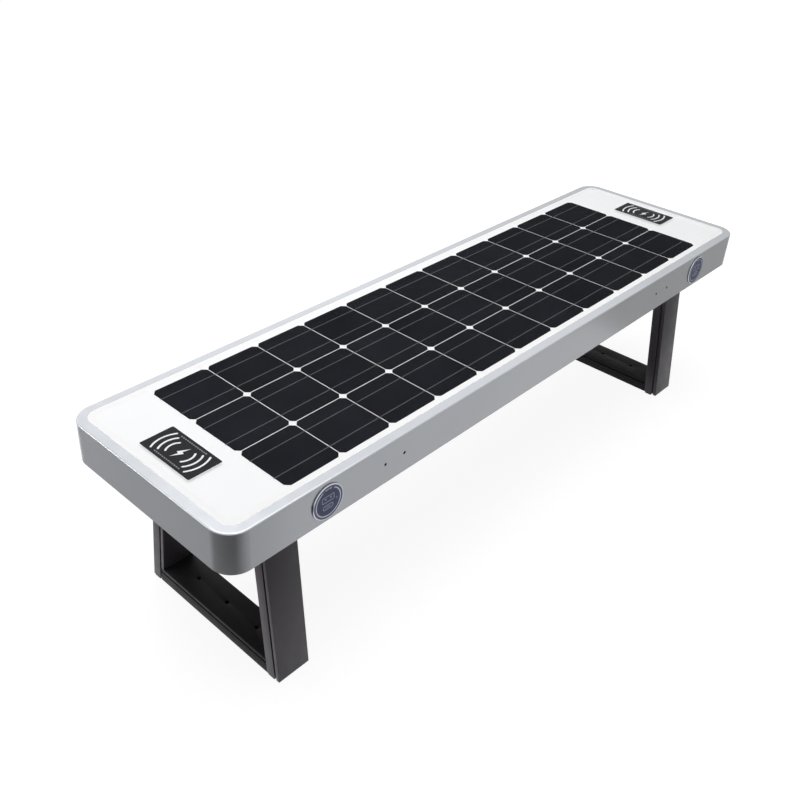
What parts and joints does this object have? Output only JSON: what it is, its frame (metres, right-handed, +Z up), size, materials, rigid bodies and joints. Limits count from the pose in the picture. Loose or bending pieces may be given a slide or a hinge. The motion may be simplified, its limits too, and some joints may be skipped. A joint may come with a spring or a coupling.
{
  "type": "solar charging bench",
  "caption": "Backless street bench with a solar panel seat, wireless charging spots, capped charging ports in the front wall and splayed leg frames of extruded section.",
  "frame": {"origin": "on the ground under the middle of the bench's bounding box", "axes": "+X along the seat, -Y towards the front with the charging ports, +Z up"},
  "size_m": [1.7, 0.455, 0.4503],
  "materials": {
    "shell": "silver, semi-gloss",
    "glass": "clear, toughened",
    "cell": "dark solar cell behind glass",
    "ribbon": "tinned ribbon",
    "backsheet": "white",
    "seal": "black",
    "board": "sealed plywood",
    "zinc": "zinc plated",
    "cover": "grey",
    "case": "black",
    "battery": "dark blue",
    "controller": "blue anodised",
    "label": "dark grey with white graphics",
    "tray": "white",
    "coil": "copper winding on a ferrite plate",
    "circuit": "green",
    "bezel": "satin",
    "cap": "slate",
    "core": "black",
    "frame": "near black powder coat",
    "pad": "black"
  },
  "bodies": {
    "bench": {"seat_shell": "shell", "glass_sheet": "glass", "solar_cells": "cell", "cell_ribbons": "ribbon", "backsheet": "backsheet", "panel_seal": "seal", "deck_board": "board", "left_leg_beam": "zinc", "right_leg_beam": "zinc", "left_support_beam": "zinc", "right_support_beam": "zinc", "centre_beam": "zinc", "side_inserts": "zinc", "bottom_cover": "cover", "cover_screws": "zinc", "junction_box": "case", "battery": "battery", "battery_strap": "zinc", "charge_controller": "controller", "power_converter": "case", "wiring_loom": "case", "loom_grommets": "seal", "left_label": "label", "right_label": "label", "left_tray": "tray", "right_tray": "tray", "left_coil": "coil", "right_coil": "coil", "left_board": "circuit", "right_board": "circuit", "left_bezel": "bezel", "right_bezel": "bezel", "port_gaskets": "seal", "port_nuts": "bezel", "left_socket_core": "core", "right_socket_core": "core", "hinge_pins": "bezel", "cap_seals": "seal", "left_front_upright": "frame", "right_front_upright": "frame", "left_rear_upright": "frame", "right_rear_upright": "frame", "left_floor_bar": "frame", "right_floor_bar": "frame", "left_front_strip": "frame", "right_front_strip": "frame", "left_rear_strip": "frame", "right_rear_strip": "frame", "left_bar_strip": "frame", "right_bar_strip": "frame", "left_top_plate": "frame", "right_top_plate": "frame", "leg_bolts": "zinc", "leg_nuts": "zinc", "foot_pads": "pad"},
    "left_cap_body": {"left_cap": "cap"},
    "right_cap_body": {"right_cap": "cap"}
  },
  "joints": [
    {"name": "left_cap_hinge", "type": "hinge", "parent": "bench", "child": "left_cap_body", "pos_m": [-0.64, -0.2262, 0.4331], "axis": [-1, 0, 0], "range_deg": [0, 95]},
    {"name": "right_cap_hinge", "type": "hinge", "parent": "bench", "child": "right_cap_body", "pos_m": [0.64, -0.2262, 0.4331], "axis": [-1, 0, 0], "range_deg": [0, 95]}
  ]
}
